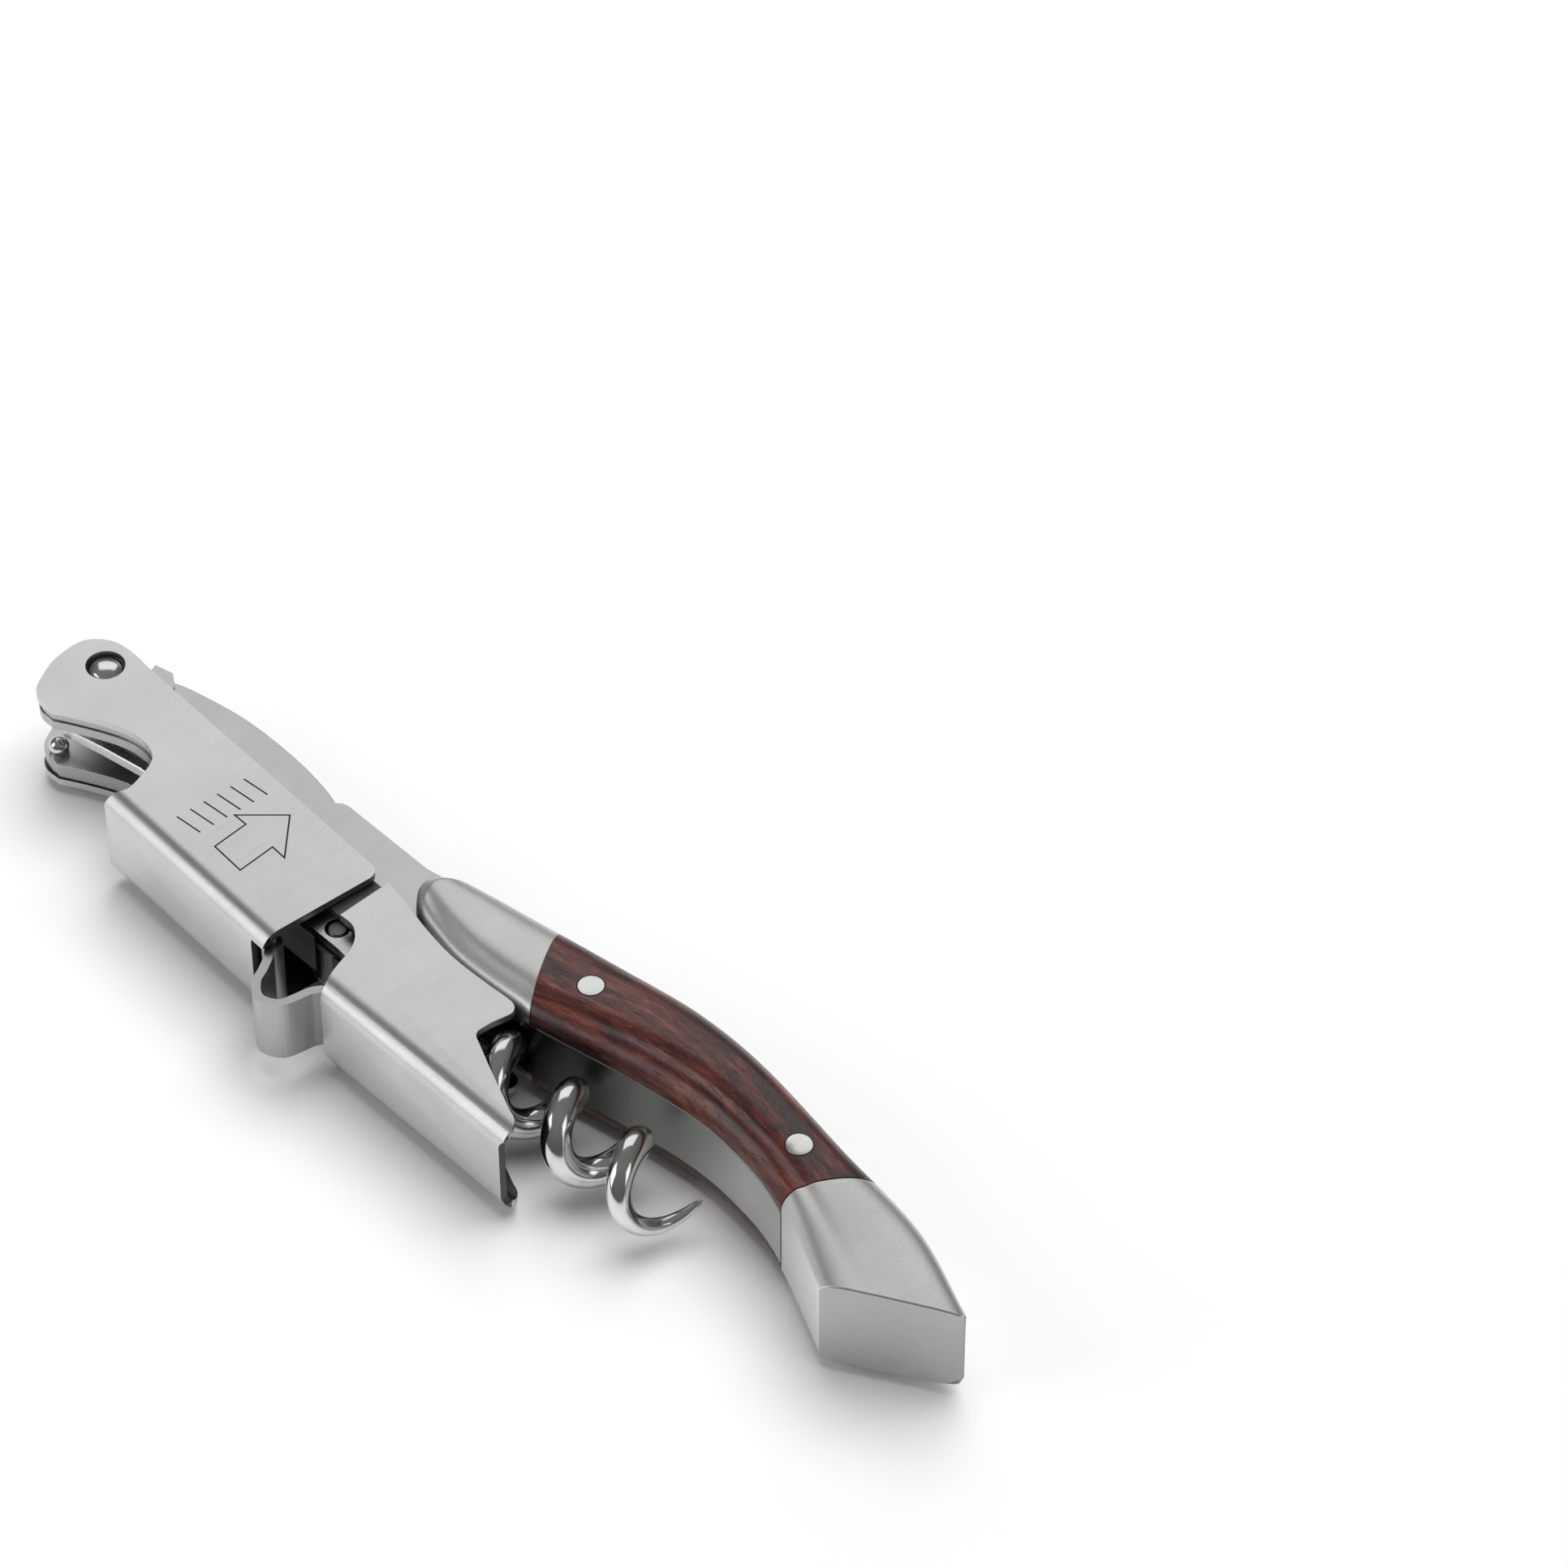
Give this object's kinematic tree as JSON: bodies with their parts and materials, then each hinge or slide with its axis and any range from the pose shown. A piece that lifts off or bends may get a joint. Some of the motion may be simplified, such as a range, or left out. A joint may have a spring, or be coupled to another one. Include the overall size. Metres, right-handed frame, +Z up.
{
  "type": "waiter's corkscrew",
  "caption": "Folding waiter's corkscrew with a hinged two-step steel lever, a wire worm, a foil knife and riveted rosewood handle scales.",
  "frame": {"origin": "centre of the bounding box on the surface it lies on", "axes": "+X along the handle from the lever rivet to the tail, +Y towards the back of the handle, +Z up through the handle's thickness as it lies on its side"},
  "size_m": [0.122, 0.0288, 0.0134],
  "materials": {
    "lever_steel": "brushed",
    "liner_steel": "brushed",
    "bolster_steel": "satin, bead blasted",
    "polished_steel": "polished",
    "rivet_steel": "satin",
    "worm_steel": "mirror polished",
    "spring_steel": "ground",
    "blade_steel": "brushed",
    "rosewood": "oiled, semi-gloss"
  },
  "bodies": {
    "frame": {"liner_top": "liner_steel", "liner_bottom": "liner_steel", "head_shim_top": "liner_steel", "head_shim_bottom": "liner_steel", "handle_core": "liner_steel", "back_spring": "spring_steel", "worm_spring": "spring_steel", "knife_spring": "polished_steel", "knife_washer_top": "spring_steel", "knife_washer_bottom": "spring_steel", "front_bolster_top": "bolster_steel", "front_bolster_bottom": "bolster_steel", "tail_cap": "bolster_steel", "scale_top": "rosewood", "scale_bottom": "rosewood", "scale_rivet_front": "rivet_steel", "scale_rivet_rear": "rivet_steel", "head_rivet": "polished_steel", "worm_pin": "polished_steel", "cap_lifter_stud": "polished_steel"},
    "lever": {"lever_first_stage": "lever_steel", "step_hinge_pin": "polished_steel"},
    "second_stage": {"lever_second_stage": "lever_steel", "first_step_strip": "polished_steel"},
    "worm": {"worm": "worm_steel", "worm_hub": "worm_steel"},
    "knife": {"foil_knife": "blade_steel"}
  },
  "joints": [
    {"name": "lever_pivot", "type": "hinge", "parent": "frame", "child": "lever", "pos_m": [-0.05661, 0.00279, 0.0067], "axis": [0, 0, -1], "range_deg": [0, 180]},
    {"name": "step_hinge", "type": "hinge", "parent": "lever", "child": "second_stage", "pos_m": [-0.01801, -0.00851, 0.0067], "axis": [0, 0, -1], "range_deg": [0, 40]},
    {"name": "worm_pivot", "type": "hinge", "parent": "frame", "child": "worm", "pos_m": [-0.01511, -0.00271, 0.0067], "axis": [0, 0, -1], "range_deg": [0, 90]},
    {"name": "knife_pivot", "type": "hinge", "parent": "frame", "child": "knife", "pos_m": [-0.05661, 0.00279, 0.0067], "axis": [0, 0, 1], "range_deg": [0, 170]}
  ],
  "couplings": [
    {"joint": "worm_pivot", "follows": "lever_pivot", "ratio": 0.5}
  ]
}
